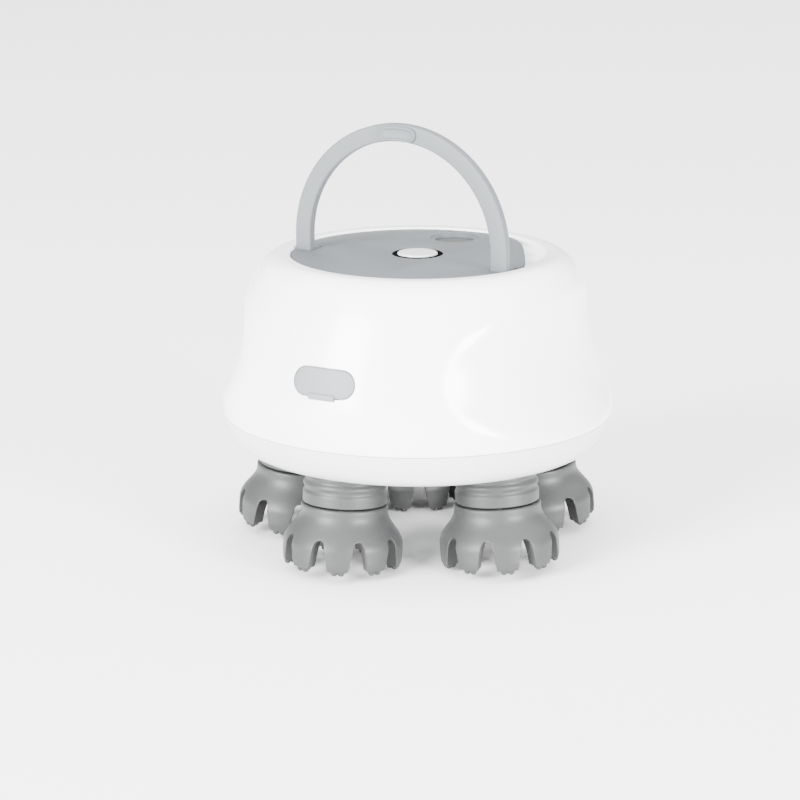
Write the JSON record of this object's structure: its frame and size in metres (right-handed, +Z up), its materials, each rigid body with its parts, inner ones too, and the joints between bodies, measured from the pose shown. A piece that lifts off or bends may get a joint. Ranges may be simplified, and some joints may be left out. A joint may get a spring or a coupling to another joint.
{
  "type": "scalp massager",
  "caption": "Handheld electric scalp massager: white waisted drum body with a folding carry handle, power button, charging port cover and turning silicone claws underneath",
  "frame": {"origin": "point on the floor below the middle of the body, where the lowest claw nubs stand", "axes": "+Z up along the body axis, -Y the front with the charging port, +X to the right as seen from the front"},
  "size_m": [0.12, 0.12, 0.1309],
  "materials": {
    "white_shell": "gloss",
    "seal_rubber": "matte",
    "grey_cover": "satin",
    "black_ring": "gloss",
    "white_button": "gloss",
    "black_parts": "matte",
    "board_green": "satin",
    "steel": "satin",
    "grey_handle": "satin",
    "port_grey": "satin",
    "battery_wrap": "satin",
    "motor_can": "satin",
    "brass": "satin",
    "gear_plastic": "satin",
    "plate_plastic": "satin",
    "grey_rubber": "matte"
  },
  "bodies": {
    "housing": {"upper_shell": "white_shell", "lower_shell": "white_shell", "shell_seal": "seal_rubber", "top_cover": "grey_cover", "button_ring": "black_ring", "button_switch": "black_parts", "main_board": "board_green", "board_screws": "steel", "handle_pins": "steel", "charge_socket": "steel", "charge_board": "board_green", "battery": "battery_wrap", "battery_cradle": "black_parts", "motor": "motor_can", "centre_axle": "steel", "gear_plate": "plate_plastic", "plate_screws": "steel", "shell_screws": "steel", "shaft_bushes": "brass", "neck_boot_1": "grey_rubber", "neck_boot_2": "grey_rubber", "neck_boot_3": "grey_rubber", "neck_boot_4": "grey_rubber", "neck_boot_5": "grey_rubber"},
    "handle": {"handle": "grey_handle"},
    "power_button": {"power_button": "white_button"},
    "port_cover": {"port_cover": "port_grey"},
    "motor_pinion": {"motor_pinion": "brass"},
    "centre_gear": {"centre_gear": "gear_plastic"},
    "head_1": {"claw_1": "grey_rubber", "head_shaft_1": "steel", "head_gear_1": "gear_plastic"},
    "head_2": {"claw_2": "grey_rubber", "head_shaft_2": "steel", "head_gear_2": "gear_plastic"},
    "head_3": {"claw_3": "grey_rubber", "head_shaft_3": "steel", "head_gear_3": "gear_plastic"},
    "head_4": {"claw_4": "grey_rubber", "head_shaft_4": "steel", "head_gear_4": "gear_plastic"},
    "head_5": {"claw_5": "grey_rubber", "head_shaft_5": "steel", "head_gear_5": "gear_plastic"}
  },
  "joints": [
    {"name": "handle_fold", "type": "hinge", "parent": "housing", "child": "handle", "pos_m": [0, -0.007, 0.08832], "axis": [-1, 0, 0], "range_deg": [0, 90]},
    {"name": "button_press", "type": "slide", "parent": "housing", "child": "power_button", "axis": [0, 0, -1], "range_m": [0, 0.0007], "stiffness_N_per_m": 400, "springref_m": -0.003},
    {"name": "port_cover_hinge", "type": "hinge", "parent": "housing", "child": "port_cover", "pos_m": [0.0013, -0.05715, 0.0662], "axis": [-0.9997, -0.0227, 0], "range_deg": [0, 100]},
    {"name": "centre_gear_spin", "type": "hinge", "parent": "housing", "child": "centre_gear", "pos_m": [0, 0, 0.03872], "axis": [0, 0, 1], "continuous": true},
    {"name": "pinion_spin", "type": "hinge", "parent": "housing", "child": "motor_pinion", "pos_m": [0, -0.024, 0.04172], "axis": [0, 0, 1], "continuous": true},
    {"name": "head_1_spin", "type": "hinge", "parent": "housing", "child": "head_1", "pos_m": [-0.00319, -0.03885, 0.02042], "axis": [0.0069, 0.0834, 0.9965], "continuous": true},
    {"name": "head_2_spin", "type": "hinge", "parent": "housing", "child": "head_2", "pos_m": [0.03596, -0.01504, 0.02042], "axis": [-0.0772, 0.0323, 0.9965], "continuous": true},
    {"name": "head_3_spin", "type": "hinge", "parent": "housing", "child": "head_3", "pos_m": [0.02542, 0.02956, 0.02042], "axis": [-0.0546, -0.0634, 0.9965], "continuous": true},
    {"name": "head_4_spin", "type": "hinge", "parent": "housing", "child": "head_4", "pos_m": [-0.02025, 0.03331, 0.02042], "axis": [0.0435, -0.0715, 0.9965], "continuous": true},
    {"name": "head_5_spin", "type": "hinge", "parent": "housing", "child": "head_5", "pos_m": [-0.03794, -0.00897, 0.02042], "axis": [0.0814, 0.0192, 0.9965], "continuous": true}
  ],
  "couplings": [
    {"joint": "pinion_spin", "follows": "centre_gear_spin", "ratio": -4},
    {"joint": "head_1_spin", "follows": "centre_gear_spin", "ratio": -1.5},
    {"joint": "head_2_spin", "follows": "centre_gear_spin", "ratio": -1.5},
    {"joint": "head_3_spin", "follows": "centre_gear_spin", "ratio": -1.5},
    {"joint": "head_4_spin", "follows": "centre_gear_spin", "ratio": -1.5},
    {"joint": "head_5_spin", "follows": "centre_gear_spin", "ratio": -1.5}
  ]
}
